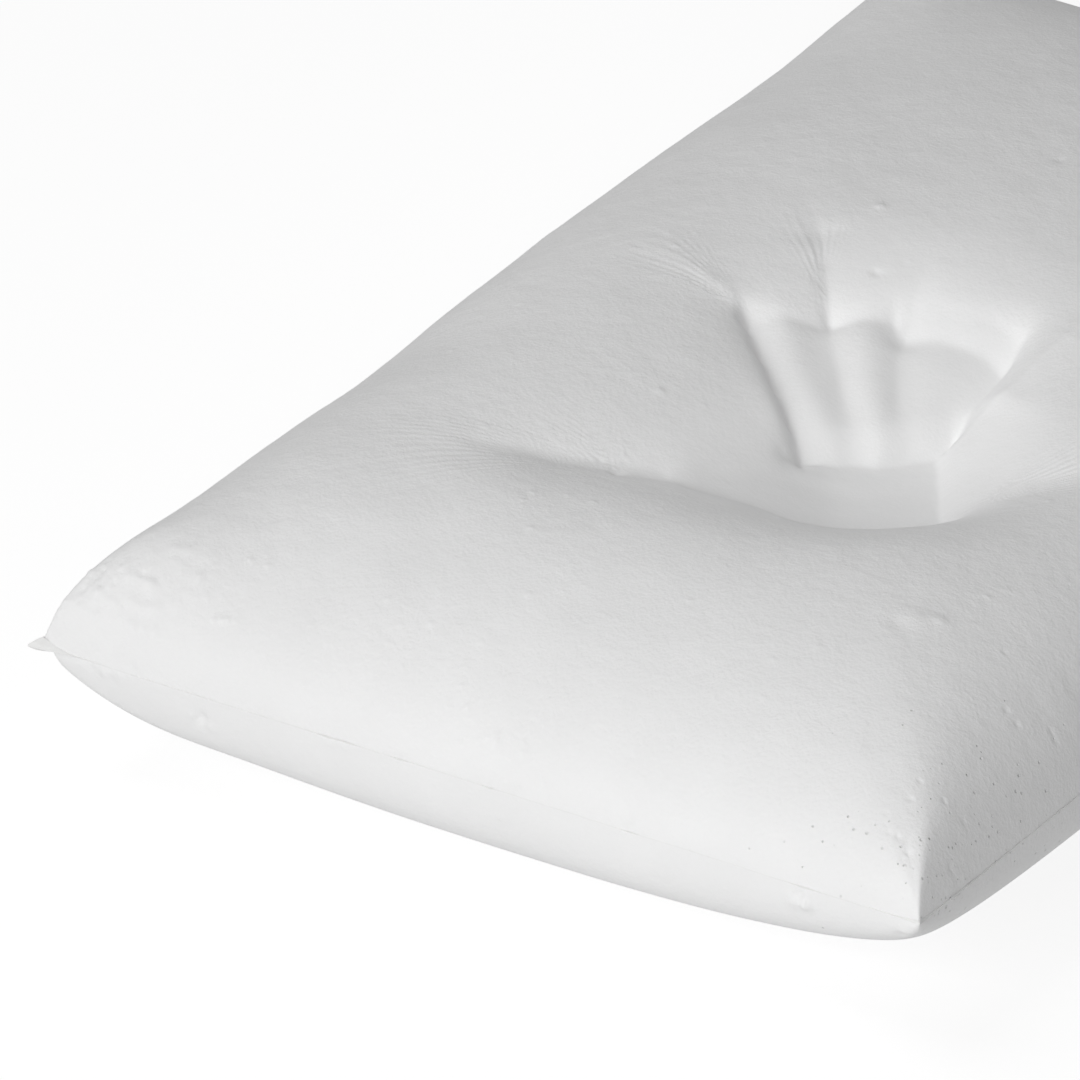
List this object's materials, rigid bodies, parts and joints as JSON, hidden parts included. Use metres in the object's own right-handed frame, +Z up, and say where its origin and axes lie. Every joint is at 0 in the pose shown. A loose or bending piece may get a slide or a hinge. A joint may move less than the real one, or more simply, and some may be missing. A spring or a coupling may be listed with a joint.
{
  "type": "memory foam pillow",
  "caption": "Bare moulded slow-recovery foam pillow, pillowed on both faces, with a parting line and thin flash round its edge and the imprint of a hand pressed into its top.",
  "frame": {"origin": "centre of the bounding box's base, on the floor that the pillow rests on", "axes": "+X along the pillow's length (its left end is -X), +Y across its width from the front side to the back side, +Z up"},
  "size_m": [0.6568, 0.4118, 0.1183],
  "materials": {
    "foam": "white foam with a soft, matte, finely grained moulded skin",
    "flash": "thin white foam film, matte and a little translucent"
  },
  "bodies": {
    "root": {"foam_core": "foam", "corner_flash_front_left": "flash", "corner_flash_back_left": "flash", "corner_flash_front_right": "flash", "corner_flash_back_right": "flash", "edge_flash_front": "flash", "edge_flash_back": "flash", "edge_flash_left": "flash", "edge_flash_right": "flash"}
  },
  "joints": []
}
